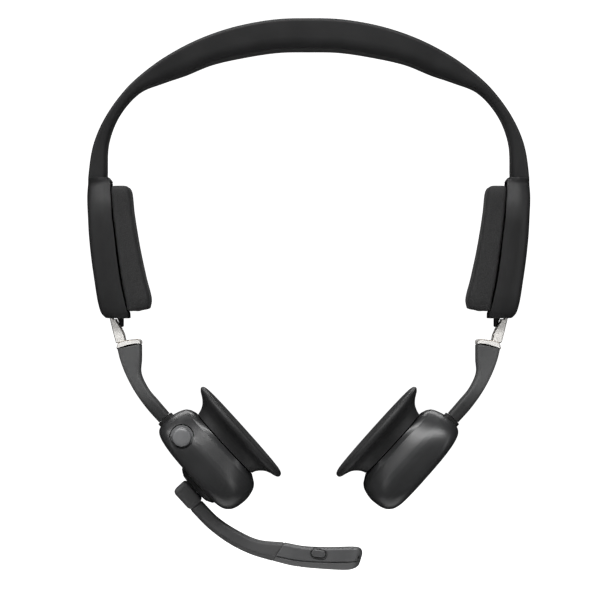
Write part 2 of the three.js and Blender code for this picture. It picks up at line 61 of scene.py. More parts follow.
# shaders: sockets that can be added and multiplied
class Wire:
    def __init__(self, paint, socket):
        self.paint = paint
        self.socket = socket

    def wide(self):
        return self.socket.type in ("RGBA", "VECTOR")

    def join(self, other, operation, swapped=False):
        first, second = (other, self) if swapped else (self, other)
        isWide = any(isinstance(x, Wire) and x.wide() for x in (first, second))
        kind = "ShaderNodeVectorMath" if isWide else "ShaderNodeMath"
        return self.paint.add(kind, {"operation": operation}, {0: first, 1: second})

    def __add__(self, other):
        return self.join(other, "ADD")

    def __radd__(self, other):
        return self.join(other, "ADD", True)

    def __sub__(self, other):
        return self.join(other, "SUBTRACT")

    def __rsub__(self, other):
        return self.join(other, "SUBTRACT", True)

    def __mul__(self, other):
        return self.join(other, "MULTIPLY")

    def __rmul__(self, other):
        return self.join(other, "MULTIPLY", True)

    def between(self, low, high):  # 0 under low, 1 over high, smooth in the middle
        values = {"Value": self, "From Min": low, "From Max": high}
        return self.paint.add("ShaderNodeMapRange", {"interpolation_type": "SMOOTHSTEP"}, values)

    def blend(self, low, high):  # a colour from low at 0 to high at 1
        values = {0: self, 6: low, 7: high}
        return self.paint.add("ShaderNodeMix", {"data_type": "RGBA"}, values, output=2)


class Paint:
    def __init__(self, name, **fixed):
        self.material = bpy.data.materials.new(name)
        self.material.use_nodes = True
        self.tree = self.material.node_tree
        self.shader = self.tree.nodes["Principled BSDF"]
        self.set(**fixed)
        self.place = self.add("ShaderNodeTexCoord", output="Object")

    def feed(self, socket, value):
        if isinstance(value, Wire):
            self.tree.links.new(value.socket, socket)
        elif socket.type in ("RGBA", "VECTOR"):
            size = len(socket.default_value)
            full = (value,) * size if isinstance(value, (int, float)) else tuple(value)
            socket.default_value = (full + (1.0,))[:size]
        else:
            socket.default_value = value

    def add(self, kind, settings=None, values=None, output=0):
        node = self.tree.nodes.new(kind)
        for key, value in (settings or {}).items():
            setattr(node, key, value)
        for key, value in (values or {}).items():
            self.feed(node.inputs[key], value)
        return Wire(self, node.outputs[output])

    def speckle(self, size, detail=3, roughness=0.55, stretch=(1, 1, 1)):  # size in mm
        spot = self.add("ShaderNodeMapping", {}, {"Vector": self.place, "Scale": stretch})
        values = {"Vector": spot, "Scale": 1 / (size * mm), "Detail": detail, "Roughness": roughness}
        return self.add("ShaderNodeTexNoise", {}, values)

    def cells(self, size, feature="F1", jitter=1.0):
        values = {"Vector": self.place, "Scale": 1 / (size * mm), "Randomness": jitter}
        return self.add("ShaderNodeTexVoronoi", {"feature": feature}, values, output="Distance")

    def relief(self, height, depth, strength):  # depth in mm
        values = {"Height": height, "Distance": depth * mm, "Strength": strength}
        self.feed(self.shader.inputs["Normal"], self.add("ShaderNodeBump", {}, values))

    def set(self, **values):
        for socket, value in values.items():
            self.feed(self.shader.inputs[socket.replace("_", " ")], value)


def shades(colour, dark, light):
    return tuple(c * dark for c in colour), tuple(c * light for c in colour)


def moulded(name, look):  # plastic or silicone with a fine moulded grain, clouding and light wear, and where asked, painted shade darker towards the lower end
    paint = Paint(name, Specular_IOR_Level=look.get("specular", 0.5))
    grain = paint.speckle(look["grain"], 2)
    cloud = paint.speckle(14, 3)
    scuff = paint.speckle(2.4, 4, 0.7, (1, 0.35, 1)).between(0.58, 0.72)
    dark, light = shades(look["colour"], 0.86, 1.16)
    tone = (cloud * 0.7 + grain * 0.3).between(0.3, 0.7).blend(dark, light)
    if "fade" in look:  # painted shade: the colour is darker towards the lower end
        height = paint.add("ShaderNodeSeparateXYZ", {}, {0: paint.place}, output=2)
        low, high = look["fadeBetween"]
        tone = tone * (look["fade"] + height.between(low * mm, high * mm) * (1 - look["fade"]))
    rough = look["rough"] + (cloud - 0.5) * look.get("spread", 0.12) + (grain - 0.5) * 0.08
    paint.set(Base_Color=tone, Roughness=rough + scuff * 0.04)
    paint.set(Sheen_Weight=look.get("sheen", 0.0), Sheen_Roughness=0.5)
    paint.relief(grain + cloud * 0.15, look["depth"], 0.35)
    return paint.material


def grainedCover(name, look):  # thin leatherette: rounded cells with creases and pores
    paint = Paint(name, Specular_IOR_Level=0.25, Sheen_Weight=0.03, Sheen_Roughness=0.5)
    cell = paint.cells(look["cell"])
    crease = paint.cells(look["cell"], "DISTANCE_TO_EDGE").between(0.02, 0.2)
    pore = paint.cells(look["cell"] * 0.45).between(0.1, 0.4)
    cloud = paint.speckle(9, 3)
    dark, light = shades(look["colour"], 0.62, 1.25)
    tone = (crease * 0.65 + cloud * 0.35).blend(dark, light)
    paint.set(Base_Color=tone, Roughness=look["rough"] + (cloud - 0.5) * 0.16 - crease * 0.07)
    paint.relief(crease * 0.7 - cell * 0.35 + pore * 0.25 + cloud * 0.2, look["depth"], 0.6)
    return paint.material


def metal(name, look):  # rolled or polished sheet with faint lines along one direction
    paint = Paint(name, Metallic=look.get("metallic", 1.0))
    lines = paint.speckle(look["line"], 2, 0.6, look["along"])
    cloud = paint.speckle(7, 3)
    dark, light = shades(look["colour"], 0.88, 1.04)
    paint.set(Base_Color=(lines * 0.5 + cloud * 0.5).between(0.3, 0.7).blend(dark, light))
    paint.set(Roughness=look["rough"] + (lines - 0.5) * 0.1 + (cloud - 0.5) * 0.06)
    paint.relief(lines, look["depth"], 0.25)
    return paint.material


def woundCopper(name, look):
    paint = Paint(name, Metallic=0.9)
    turns = paint.add("ShaderNodeTexWave", {"bands_direction": "DIAGONAL"},
                      {"Vector": paint.place, "Scale": 1 / (look["wire"] * 6.3 * mm), "Distortion": 0.6})
    paint.set(Base_Color=turns.blend(look["dark"], look["light"]), Roughness=0.42 - turns * 0.15)
    paint.relief(turns, 0.08, 0.6)
    return paint.material


def circuit(name, look):
    paint = Paint(name)
    tracks = paint.add("ShaderNodeTexBrick", {"offset": 0.5},
                       {"Vector": paint.place, "Scale": 1 / (1.6 * mm), "Mortar Size": 0.05}, "Fac")
    pads = 1 - paint.cells(1.1, jitter=0.6).between(0.16, 0.22)
    paint.set(Base_Color=pads.blend(tracks.blend(look["mask"], look["track"]), look["gold"]))
    paint.set(Roughness=0.42 - pads * 0.15, Metallic=pads * 0.8)
    paint.relief(pads + tracks * 0.4, 0.04, 0.5)
    return paint.material


def openFoam(name, look):
    paint = Paint(name)
    holes = paint.cells(look["cell"]).between(0.1, 0.55)
    paint.set(Base_Color=holes.blend(look["light"], look["dark"]), Roughness=0.95 - holes * 0.1)
    paint.relief(1 - holes, 0.25, 0.8)
    return paint.material


plastics = {  # grain in mm
    "silicone": {"colour": (0.0098, 0.0098, 0.0101), "rough": 0.52, "grain": 0.16, "depth": 0.02,
                 "specular": 0.24, "sheen": 0.02},
    "housing": {"colour": (0.011, 0.011, 0.0113), "rough": 0.47, "grain": 0.14, "depth": 0.02,
                "specular": 0.26},
    # the arm's colour darkens towards the pod end as painted shade
    "arm_plastic": {"colour": (0.05, 0.0505, 0.051), "rough": 0.5, "grain": 0.12, "depth": 0.02,
                    "fade": 0.32, "fadeBetween": (-152, -138)},
    "pod_plastic": {"colour": (0.0165, 0.0167, 0.0172), "rough": 0.36, "grain": 0.12, "depth": 0.002,
                    "spread": 0.03},
    "contact_silicone": {"colour": (0.013, 0.0131, 0.0134), "rough": 0.56, "grain": 0.18, "depth": 0.03,
                         "specular": 0.34},
    "boom_rubber": {"colour": (0.034, 0.034, 0.0347), "rough": 0.56, "grain": 0.15, "depth": 0.03,
                    "specular": 0.42},
    "button_plastic": {"colour": (0.11, 0.111, 0.114), "rough": 0.34, "grain": 0.1, "depth": 0.01},
    "mic_plastic": {"colour": (0.052, 0.0524, 0.0535), "rough": 0.42, "grain": 0.13, "depth": 0.02},
    "inner_plastic": {"colour": (0.007, 0.007, 0.007), "rough": 0.6, "grain": 0.2, "depth": 0.03,
                      "specular": 0.3},
    "wire_jacket": {"colour": (0.02, 0.02, 0.021), "rough": 0.5, "grain": 0.3, "depth": 0.02},
    "battery_wrap": {"colour": (0.3, 0.32, 0.34), "rough": 0.32, "grain": 0.5, "depth": 0.05},
}
metals = {
    "polished_steel": {"colour": (0.74, 0.725, 0.7), "rough": 0.24, "metallic": 0.3, "line": 0.5,
                       "along": (1, 1, 0.12), "depth": 0.01},
    # a dark brown copy of the steel, painted on the plates' eased edges as their reflection
    "steel_edge": {"colour": (0.3, 0.26, 0.22), "rough": 0.35, "line": 0.5, "along": (1, 1, 1),
                   "depth": 0.01},
    "spring_steel": {"colour": (0.56, 0.56, 0.57), "rough": 0.32, "line": 0.3, "along": (0.12, 1, 0.12),
                     "depth": 0.02},
    "driver_iron": {"colour": (0.42, 0.42, 0.44), "rough": 0.36, "line": 0.4, "along": (1, 1, 1),
                    "depth": 0.02},
}
looks = {
    "pad_fabric": grainedCover("PadCover", {"colour": (0.0138, 0.0138, 0.0141), "rough": 0.66,
                                            "cell": 0.62, "depth": 0.09}),
    "copper": woundCopper("WoundCopper", {"wire": 0.22, "dark": (0.28, 0.09, 0.03),
                                          "light": (0.9, 0.4, 0.16)}),
    "board": circuit("CircuitBoard", {"mask": (0.012, 0.09, 0.035), "track": (0.03, 0.16, 0.06),
                                      "gold": (0.8, 0.58, 0.25)}),
    "foam": openFoam("OpenFoam", {"cell": 0.7, "light": (0.14, 0.14, 0.15), "dark": (0.03, 0.03, 0.033)}),
}
for finish, table in ((moulded, plastics), (metal, metals)):
    for slot, look in table.items():
        looks[slot] = finish(slot.title().replace("_", ""), look)
print("materials made:", len(looks))


# meshes
def newObject(name, data):
    obj = bpy.data.objects.new(name, data)
    bpy.context.scene.collection.objects.link(obj)
    return obj


def meshObject(name, points, faces, angle=38):
    mesh = bpy.data.meshes.new(name)
    mesh.from_pydata([tuple(p) for p in points], [], faces)
    mesh.update()
    obj = newObject(name, mesh)
    tidyNormals(obj, angle)
    return obj


def tidyNormals(obj, angle=38):
    work = bmesh.new()
    work.from_mesh(obj.data)
    bmesh.ops.remove_doubles(work, verts=work.verts, dist=1e-6)
    bmesh.ops.recalc_face_normals(work, faces=work.faces)
    if work.calc_volume(signed=True) < 0:
        bmesh.ops.reverse_faces(work, faces=work.faces)
    work.to_mesh(obj.data)
    work.free()
    obj.data.polygons.foreach_set("use_smooth", [True] * len(obj.data.polygons))
    obj.data.set_sharp_from_angle(angle=math.radians(angle))
    obj.data.update()


def weigh(obj):  # flat faces keep flat shading beside their fillets
    modifier = obj.modifiers.new("Weighted", "WEIGHTED_NORMAL")
    modifier.keep_sharp = True
    modifier.mode = "FACE_AREA_WITH_ANGLE"


def rings(name, loops, angle=38, closed=False):
    count = len(loops[0])
    points = [p * mm for loop in loops for p in loop]
    faces = []
    spans = len(loops) if closed else len(loops) - 1
    for i in range(spans):
        here, there = i * count, (i + 1) % len(loops) * count
        for j in range(count):
            k = (j + 1) % count
            faces.append((here + j, here + k, there + k, there + j))
    if not closed:
        faces.append(tuple(reversed(range(count))))
        faces.append(tuple(range((len(loops) - 1) * count, len(loops) * count)))
    return meshObject(name, points, faces, angle)


def spline(points):  # centripetal curve through the points, t from 0 to 1
    points = [Vector(p) for p in points]
    last = len(points) - 1

    def at(t):
        place = max(0.0, min(0.999999, t)) * last
        i = int(place)
        f = place - i
        b, c = points[i], points[i + 1]
        a = points[i - 1] if i > 0 else b * 2 - c
        d = points[i + 2] if i + 2 <= last else c * 2 - b
        u, v, w = (max(1e-4, (q - p).length) ** 0.5 for p, q in ((a, b), (b, c), (c, d)))
        startSlope = ((b - a) / u - (c - a) / (u + v) + (c - b) / v) * v
        endSlope = ((c - b) / v - (d - b) / (v + w) + (d - c) / w) * v
        cube = 2 * b - 2 * c + startSlope + endSlope
        square = -3 * b + 3 * c - 2 * startSlope - endSlope
        return ((cube * f + square) * f + startSlope) * f + b
    return at


def bend(here, before, after, reach, steps):  # the curve that rounds one corner
    reach = min(reach, before.length * 0.49, after.length * 0.49)
    start, end = here + before.normalized() * reach, here + after.normalized() * reach
    shares = [k / steps for k in range(steps + 1)]
    return [start * (1 - f) ** 2 + here * (2 * f * (1 - f)) + end * f * f for f in shares]


def fillets(corners, steps):  # a closed outline from (x, y, radius) corners
    out = []
    for i, (x, y, radius) in enumerate(corners):
        here = Vector((x, y))
        before = Vector(corners[i - 1][:2]) - here
        after = Vector(corners[(i + 1) % len(corners)][:2]) - here
        turn = before.angle(after)
        out += bend(here, before, after, radius / math.tan(turn / 2), steps)
    return out


def section(low, high, reach, lowRound, highRound, steps):  # a rectangle between two depths
    return fillets([(low, -reach, lowRound), (high, -reach, highRound),
                    (high, reach, highRound), (low, reach, lowRound)], steps)


class Bar:  # a bar between an outer and an inner edge curve, in the x-z plane
    def __init__(self, stations):
        self.outer = spline([(ox, w, oz) for ox, oz, ix, iz, w in stations])
        self.inner = spline([(ix, w, iz) for ox, oz, ix, iz, w in stations])
        mids = [self.mid(i / 200) for i in range(201)]
        self.length = sum((b - a).length for a, b in zip(mids, mids[1:]))

    def mid(self, t):
        point = (self.outer(t) + self.inner(t)) / 2
        return Vector((point.x, 0, point.z))

    def loop(self, t, shape, inset=0.0):  # shape(span, half, t, inset) gives (depth, y) points
        outer, inner = self.outer(t), self.inner(t)
        half = outer.y
        outer, inner = Vector((outer.x, 0, outer.z)), Vector((inner.x, 0, inner.z))
        span = (inner - outer).length
        toward = (inner - outer).normalized()
        return [outer + toward * depth + Vector((0, y, 0)) for depth, y in shape(span, half, t, inset)]

    def build(self, name, shape, steps, low, high, roundLow, roundHigh, necks=()):
        stops = [(low + (high - low) * i / steps, 0.0) for i in range(steps + 1)]
        for radius, end, way in ((roundLow, low, 1), (roundHigh, high, -1)):
            if radius <= 0:
                continue
            reach = radius / self.length
            stops = [(t, inset) for t, inset in stops if abs(t - end) > reach * 1.02]
            for k in range(7):
                turn = k / 6 * math.pi / 2
                stops.append((end + way * reach * (1 - math.sin(turn)), radius * (1 - math.cos(turn))))
        stops.sort(key=lambda stop: stop[0])
        loops = [self.loop(t, shape, inset) for t, inset in stops]
        if "low" in necks:  # a narrower plug beyond the end, into the next piece
            loops = self.neck(low, shape, -1)[::-1] + loops
        if "high" in necks:
            loops += self.neck(high, shape, 1)
        return rings(name, loops)

    def neck(self, t, shape, way, inset=0.2, reach=0.7):
        ahead = (self.mid(min(1, t + 0.01)) - self.mid(max(0, t - 0.01))).normalized() * way
        start = self.loop(t, shape, inset)
        return [start, [p + ahead * reach for p in start]]


def oblong(low, high, reach):
    return section(low, high, reach, 0.1, 0.1, 1)


def softBox(name, low, high, lowRound, highRound, power, grid):
    # a box with round corners; the radii (x, y, z) change from the low z side to the high one
    points, faces, seen = [], [], {}
    middle = (Vector(low) + Vector(high)) / 2
    size = (Vector(high) - Vector(low)) / 2

    def point(p):
        key = tuple(round(c, 6) for c in p)
        if key in seen:
            return seen[key]
        rise = (p[2] + 1) / 2
        rise = rise * rise * (3 - 2 * rise)
        radius = [a + (b - a) * rise for a, b in zip(lowRound, highRound)]
        at = [p[i] * size[i] for i in range(3)]
        coreLow = [-size[i] + radius[i] for i in range(3)]
        coreHigh = [size[i] - radius[i] for i in range(3)]
        coreLow[2], coreHigh[2] = -size[2] + lowRound[2], size[2] - highRound[2]
        rest = [min(max(at[i], coreLow[i]), coreHigh[i]) for i in range(3)]
        reach = radius[:2] + [lowRound[2] if at[2] < 0 else highRound[2]]
        over = [(at[i] - rest[i]) / reach[i] for i in range(3)]
        norm = sum(abs(c) ** power for c in over) ** (1 / power)
        if norm > 0:
            rest = [rest[i] + over[i] / norm * reach[i] for i in range(3)]
        seen[key] = len(points)
        points.append((middle + Vector(rest)) * mm)
        return seen[key]

    for axis in range(3):
        for side in (-1, 1):
            for i in range(grid):
                for j in range(grid):
                    quad = []
                    for a, b in ((i, j), (i + 1, j), (i + 1, j + 1), (i, j + 1)):
                        p = [0, 0, 0]
                        p[axis] = side
                        p[(axis + 1) % 3] = math.sin((2 * a / grid - 1) * math.pi / 2 * 0.999)
                        p[(axis + 2) % 3] = math.sin((2 * b / grid - 1) * math.pi / 2 * 0.999)
                        quad.append(point([max(-1, min(1, c * 1.00001)) for c in p]))
                    faces.append(tuple(quad))
    return meshObject(name, points, faces)


def turned(name, profile, x=0, count=96):  # profile of (radius, z) from axis to axis, or closed
    onAxis = profile[0][0] == 0
    loops = []
    for radius, z in profile:
        r = max(radius, 0.001)
        loops.append([Vector((x + r * math.cos(2 * math.pi * j / count),
                              r * math.sin(2 * math.pi * j / count), z)) for j in range(count)])
    return rings(name, loops, closed=not onAxis)


def softProfile(corners):  # round corners on an open profile from axis to axis
    out = [Vector(corners[0][:2])]
    for i in range(1, len(corners) - 1):
        here = Vector(corners[i][:2])
        before = Vector(corners[i - 1][:2]) - here
        after = Vector(corners[i + 1][:2]) - here
        out += bend(here, before, after, corners[i][2], 5)
    out.append(Vector(corners[-1][:2]))
    return [tuple(p) for p in out]


def cut(obj, *cutters):
    for cutter in cutters:
        modifier = obj.modifiers.new("Cut", "BOOLEAN")
        modifier.operation = "DIFFERENCE"
        modifier.solver = "EXACT"
        modifier.object = cutter
    settle(obj)
    for cutter in cutters:
        bpy.data.objects.remove(cutter)
    return obj


def settle(obj, angle=38):  # apply the modifiers
    graph = bpy.context.evaluated_depsgraph_get()
    mesh = bpy.data.meshes.new_from_object(obj.evaluated_get(graph))
    obj.modifiers.clear()
    obj.data = mesh
    tidyNormals(obj, angle)


def slab(name, low, high):
    edges = (0.05, 0.05, 0.05)
    return softBox(name, low, high, edges, edges, 2.3, 3)


# frames of the sides
podTilt = math.radians(47.46)
podMiddle = Vector((-43.25, 0, -171.15))
podPlace = Matrix.Translation(podMiddle * mm) @ Matrix.Rotation(podTilt, 4, "Y")
mirror = Matrix.Diagonal((-1, 1, 1, 1))


def shift(obj, *moves):
    for move in moves:
        obj.data.transform(move)
        if move.determinant() < 0:
            obj.data.flip_normals()
    obj.data.update()
    return obj


def twin(obj, name):  # the same piece on the right
    return shift(newObject(name, obj.data.copy()), mirror)


def wear(obj, look):
    obj.data.materials.clear()
    obj.data.materials.append(looks[look])


def fit(obj, body, slot, *nodes, look=None):  # material, body, slot and the node it stands for
    wear(obj, look or slot)
    weigh(obj)
    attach(obj, body)
    if nodes:
        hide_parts(*nodes)
    return obj


# headband
bandHalf = [
    (0, 12.8, 0, 0.3, 14), (14, 12.3, 13, 0, 14), (30, 9.5, 28, -2.3, 13.6), (44, 5, 41, -5.4, 12.6),
    (56, -0.7, 52, -10, 11), (66, -7.1, 61, -13.1, 9.6), (76, -15.8, 71, -17.2, 8.8),
    (85, -28, 79.5, -26.8, 8.4), (90, -39.5, 84, -38.5, 8.2), (92.1, -52.8, 84.6, -52.8, 8.2),
    (92.6, -64, 85.4, -64, 8.2),
]
band = Bar([(-ox, oz, -ix, iz, w) for ox, oz, ix, iz, w in bandHalf[:0:-1]] + bandHalf)
bandEnd = 1 / (2 * len(bandHalf) - 2)
bandLook = {
    "rim": 1.5, "belly": 5.0, "taper": 0.7,  # fillets of the outer and inner edges, and the sides' lean
    "slotTop": 1.5, "slotBottom": 3.7, "slotHalf": 5.4, "foamSide": 4, "foamSkin": 2.1,
    "pocket": (0.29, 0.71), "foam": (0.3, 0.7), "foamTop": 4.0, "foamUnder": 2.6, "foamEdge": 4.5,
    "flat": ((-11, -20, -5), (11, 20, 0)),  # the crown's underside is level in the middle
    "seamClose": 0.0012, "endRounds": (0.12, 0.12),
}


def bandShape(span, half, t, inset):
    low, high = inset, span - inset
    belly = max(0.3, min(bandLook["belly"], span * 0.62) - inset)
    rim = max(0.2, bandLook["rim"] - inset)
    wide, narrow = half - inset, half - inset - bandLook["taper"]
    return fillets([(low, -wide, rim), (high, -narrow, belly),
                    (high, narrow, belly), (low, wide, rim)], 8)


def slotShape(span, half, t, inset):
    inFoam = bandLook["pocket"][0] < t < bandLook["pocket"][1]
    low = bandLook["slotTop"]
    high = span - bandLook["foamSkin"] if inFoam else bandLook["slotBottom"]
    reach = half - bandLook["foamSide"] if inFoam else bandLook["slotHalf"]
    return oblong(low, high, reach)


start = bandEnd - bandLook["seamClose"]  # the straps run down to the housings
end = 1 - bandEnd + bandLook["seamClose"]
cover = band.build("HeadbandCover", bandShape, 220, start, end, *bandLook["endRounds"])
slotCutter = band.build("SlotCutter", slotShape, 150, 0.0, 1.0, 0, 0)
cut(cover, slotCutter, slab("FlatCutter", *bandLook["flat"]))
fit(cover, "headband", "silicone", "headband_cover")


def foamShape(span, half, t, inset):
    return oblong(bandLook["foamTop"], span - bandLook["foamUnder"], half - bandLook["foamEdge"])


foamBlock = band.build("BandFoam", foamShape, 60, *bandLook["foam"], 0, 0)
fit(foamBlock, "headband", "foam", "crown_foam")
print("headband made")


# side housings
side = Bar([
    (-92.1, -53.1, -83.7, -53.1, 8.4), (-92.35, -56, -82.7, -54.6, 8.75), (-92.6, -60, -82.45, -58.8, 9.9),
    (-92.5, -64.5, -82.1, -64, 11.2), (-92.2, -69.5, -81.85, -69.5, 12),
    (-91.8, -77, -80.9, -77, 12.2), (-90.8, -87, -79.8, -87, 12.2), (-89.4, -97, -78.3, -97, 12),
    (-87.9, -106, -76.6, -105, 11.8), (-86.6, -110, -75.4, -109.8, 11.2), (-84.8, -112, -75.2, -112.1, 10),
])
sideLook = {
    "corner": 3.4, "edge": 0.9, "arch": 1.5, "ridge": 9, "lean": 2.2, "blend": 0.13,
    "wall": 1.5, "sideWall": 1.6, "hollow": (0.11, 0.89), "endRounds": (0.12, 0.8),
    "strapSlot": ((-91.4, -5.6, -62), (-87.9, 5.6, -50)),
    "railExit": ((-85.3, -4.9, -114), (-82.5, 4.9, -106)),
}
strapRounds = (bandLook["rim"], 4.5)


def sideShape(span, half, t, inset):  # starts as the strap's own section, then arches from edge to seam
    k = min(1, t / sideLook["blend"])
    k = k * k * (3 - 2 * k)
    outer = max(0.3, strapRounds[0] + (sideLook["corner"] - strapRounds[0]) * k - inset)
    inner = max(0.3, strapRounds[1] + (sideLook["edge"] - strapRounds[1]) * k - inset)
    low, high, reach = inset, span - inset * 0.4, half - inset
    drop = bandLook["taper"] + (sideLook["arch"] - bandLook["taper"]) * k
    ridge, edge = low + (high - low) * 0.5, sideLook["lean"] * k
    ridgeRound = sideLook["ridge"] * k + 0.2
    return fillets([(low, -reach + edge, outer), (ridge, -reach, ridgeRound), (high, -reach + drop, inner),
                    (high, reach - drop, inner), (ridge, reach, ridgeRound), (low, reach - edge, outer)], 8)


def sideHollow(span, half, t, inset):
    low = sideLook["wall"]
    high = span + 3  # open towards the pad
    reach = half - sideLook["sideWall"]
    corner = sideLook["corner"] - low
    return section(low, high, reach, corner, 0.3, 4)


shell = side.build("LeftSideShell", sideShape, 70, 0, 1, *sideLook["endRounds"])
cut(shell, side.build("Hollow", sideHollow, 30, *sideLook["hollow"], 0, 0),
    slab("StrapSlot", *sideLook["strapSlot"]),
    slab("RailExit", *sideLook["railExit"]))
shellTwin = twin(shell, "RightSideShell")
fit(shell, "headband", "housing", "left_side_shell")
fit(shellTwin, "headband", "housing", "right_side_shell")


# temple pads
pad = Bar([
    (-82, -56.4, -75.6, -56.4, 10), (-81.9, -58, -74.9, -58, 10.8), (-81.2, -68, -73.7, -68, 11),
    (-79.8, -81, -71.6, -81, 11), (-77.8, -95, -68.7, -95, 11), (-75.9, -105, -66.4, -104.6, 10.8),
    (-75.2, -109.6, -66.6, -108.5, 10.1),
])
padLook = {
    "crown": 1.7, "base": 0.35, "pinch": 0.035, "endRounds": (1.1, 1.2),
    # the cloth run, on a model ten times as large
    "scale": 10.0, "voxel": 0.008, "pressure": 4.0, "frames": 20, "cap": 0.35,
}


def padShape(span, half, t, inset):
    pinch = 1 - padLook["pinch"] * math.sin(math.pi * t)  # the sides pull in between the ends
    low, high, reach = inset * 0.5 - 0.15, span - inset, (half - inset) * pinch
    return section(low, high, reach, padLook["base"], padLook["crown"], 8)


def inflate(obj, look):  # a short cloth run blows the skin up against its own edges
    grow = Matrix.Scale(look["scale"], 4)
    centre = sum((v.co for v in obj.data.vertices), Vector()) / len(obj.data.vertices)
    toBench = grow @ Matrix.Translation(-centre)
    shift(obj, toBench)
    remesh = obj.modifiers.new("Remesh", "REMESH")
    remesh.mode = "VOXEL"
    remesh.voxel_size = look["voxel"]
    settle(obj, 60)
    start = [v.co.copy() for v in obj.data.vertices]
    cloth = obj.modifiers.new("Cloth", "CLOTH")
    cloth.settings.use_pressure = True
    cloth.settings.uniform_pressure_force = look["pressure"]
    cloth.settings.effector_weights.gravity = 0
    scene = bpy.context.scene
    for frameNumber in range(1, look["frames"] + 1):
        scene.frame_set(frameNumber)
    graph = bpy.context.evaluated_depsgraph_get()
    blown = [v.co.copy() for v in obj.evaluated_get(graph).to_mesh().vertices]
    obj.modifiers.clear()
    scene.frame_set(1)
    cap = look["cap"] * mm * look["scale"]
    most = 0.0
    for vertex, old, new in zip(obj.data.vertices, start, blown):
        move = new - old
        most = max(most, move.length)
        if move.length > cap:
            move *= cap / move.length
        vertex.co = old + move
    finer = obj.modifiers.new("Finer", "SUBSURF")
    finer.levels = finer.render_levels = 1
    settle(obj, 60)
    shift(obj, toBench.inverted())
    print("pad blown up, furthest move", round(most / look["scale"] / mm, 2), "mm")


cushion = pad.build("LeftTemplePad", padShape, 60, 0, 1, *padLook["endRounds"])
inflate(cushion, padLook)
cushionTwin = twin(cushion, "RightTemplePad")
for obj, name in ((cushion, "left"), (cushionTwin, "right")):
    fit(obj, "headband", "pad_fabric", name + "_temple_pad")
print("side housings and pads made")


# arms
arm = Bar([
    (-80.1, -124.6, -70.2, -123.2, 7), (-78.9, -129.5, -70.2, -129.5, 6.9),
    (-76.6, -135.6, -70.4, -135, 6.6), (-73, -142.5, -67.4, -141.6, 6.2),
    (-68, -149.6, -63, -146.9, 5.7), (-62, -156.4, -58.4, -152.2, 5.2),
])
armLook = {
    "round": 1.9, "endRounds": (0.2, 0.5), "wireBore": 1.3,
    "wireRoute": [(-73.8, -122), (-74.2, -129), (-72.6, -137), (-69.6, -143.2), (-66.9, -146.8)],
    "swivelAt": (-23, 0, -1.1), "pinBore": 2.2, "pinReach": (-11, 3), "podBoreReach": 4,
    "endCut": ((-12, -12, -1.45), (12, 12, 9)),  # what is left off the arm's end, in the swivel's frame
}


def armShape(span, half, t, inset):
    radius = max(0.2, armLook["round"] - inset)
    return section(inset, span - inset, half - inset, radius, radius, 7)


def tube(name, route, radius, count=20, steps=60):
    at = spline([(x, 0, z) for x, z in route])
    loops = []
    for i in range(steps + 1):
        t = i / steps
        here = at(t)
        ahead = (at(min(1, t + 0.01)) - at(max(0, t - 0.01))).normalized()
        across = Vector((0, 1, 0)).cross(ahead).normalized()
        loops.append([here + across * radius * math.cos(2 * math.pi * j / count)
                      + Vector((0, radius * math.sin(2 * math.pi * j / count), 0)) for j in range(count)])
    return rings(name, loops)


# a rod lies along z, and this turns it onto the swivel in the pod's frame
swivelTurn = Matrix.Translation(Vector(armLook["swivelAt"]) * mm) @ Matrix.Rotation(math.pi / 2, 4, "Y")


def rod(name, radius, low, high, count=32, x=0):
    return turned(name, [(0, low), (radius, low), (radius, high), (0, high)], x, count)


railLook = {
    "centre": (134, -62), "radius": 222.4, "half": 0.6, "width": 4.5, "edge": 0.3,
    "topZ": -70, "footZ": -112.4, "endZ": -122.5,
    "foot": [(-76.6, -121.7), (-76.9, -120.9), (-77.3, -118.8), (-78.4, -116.4), (-79.5, -114.7),
             (-80.5, -113.2), (-80.7, -112.4)],
    "cap": [(-80.3, -124.4, 0.2), (-79.7, -122.3, 0.5), (-77.4, -121.35, 1.5), (-72, -120.8, 1.2),
            (-70.3, -121.2, 1.0), (-70.1, -122.9, 0.3), (-72.5, -122.8, 1.0), (-75.5, -123.35, 2.0),
            (-78.2, -124.2, 2.0), (-80.1, -125, 0.2)],
    "capWidth": 6.9,
    "guard": [(-80.4, -111.5, 0.1), (-77.8, -111.5, 0.1), (-77.8, -115.4, 0.4), (-78.3, -115.9, 0.3),
              (-79.25, -114.6, 0.4)],
    "guardWidth": 3.4,
}


def plate(name, outline, half):  # an outline in x-z given a thickness in y and eased edges
    edge = railLook["edge"]
    middle = sum((Vector(p) for p in outline), Vector((0, 0))) / len(outline)
    loops = []
    for y, inset in ((-half, edge), (-half + edge * 0.3, edge * 0.3), (-half + edge, 0),
                     (half - edge, 0), (half - edge * 0.3, edge * 0.3), (half, edge)):
        loop = []
        for i, p in enumerate(outline):
            along = Vector(outline[(i + 1) % len(outline)]) - Vector(outline[i - 1])
            inward = Vector((-along.y, along.x)).normalized()
            if inward.dot(middle - Vector(p)) < 0 and len(outline) < 12:
                inward = -inward
            q = Vector(p) + inward * inset
            loop.append(Vector((q.x, y, q.y)))
        loops.append(loop)
    solid = rings(name, loops, 25)
    for face in solid.data.polygons:
        face.material_index = int(0.2 < abs(face.normal.y) < 0.95)  # the eased edges take a dark brown copy of the steel as a painted reflection
    return solid


def turning(outline):  # anticlockwise in x-z
    area = sum(a[0] * b[1] - b[0] * a[1] for a, b in zip(outline, outline[1:] + outline[:1]))
    return outline if area > 0 else outline[::-1]


def railOutline():
    cx, cz = railLook["centre"]

    def arc(radius, low, high, steps):
        zs = [low + (high - low) * i / steps for i in range(steps + 1)]
        return [(cx - math.sqrt(radius ** 2 - (z - cz) ** 2), z) for z in zs]
    outer = arc(railLook["radius"] + railLook["half"], railLook["topZ"], railLook["endZ"], 50)
    inner = arc(railLook["radius"] - railLook["half"], railLook["footZ"], railLook["topZ"], 42)
    return turning(outer + railLook["foot"] + inner)


def roundOutline(corners, steps):
    return turning([tuple(p) for p in fillets(corners, steps)])


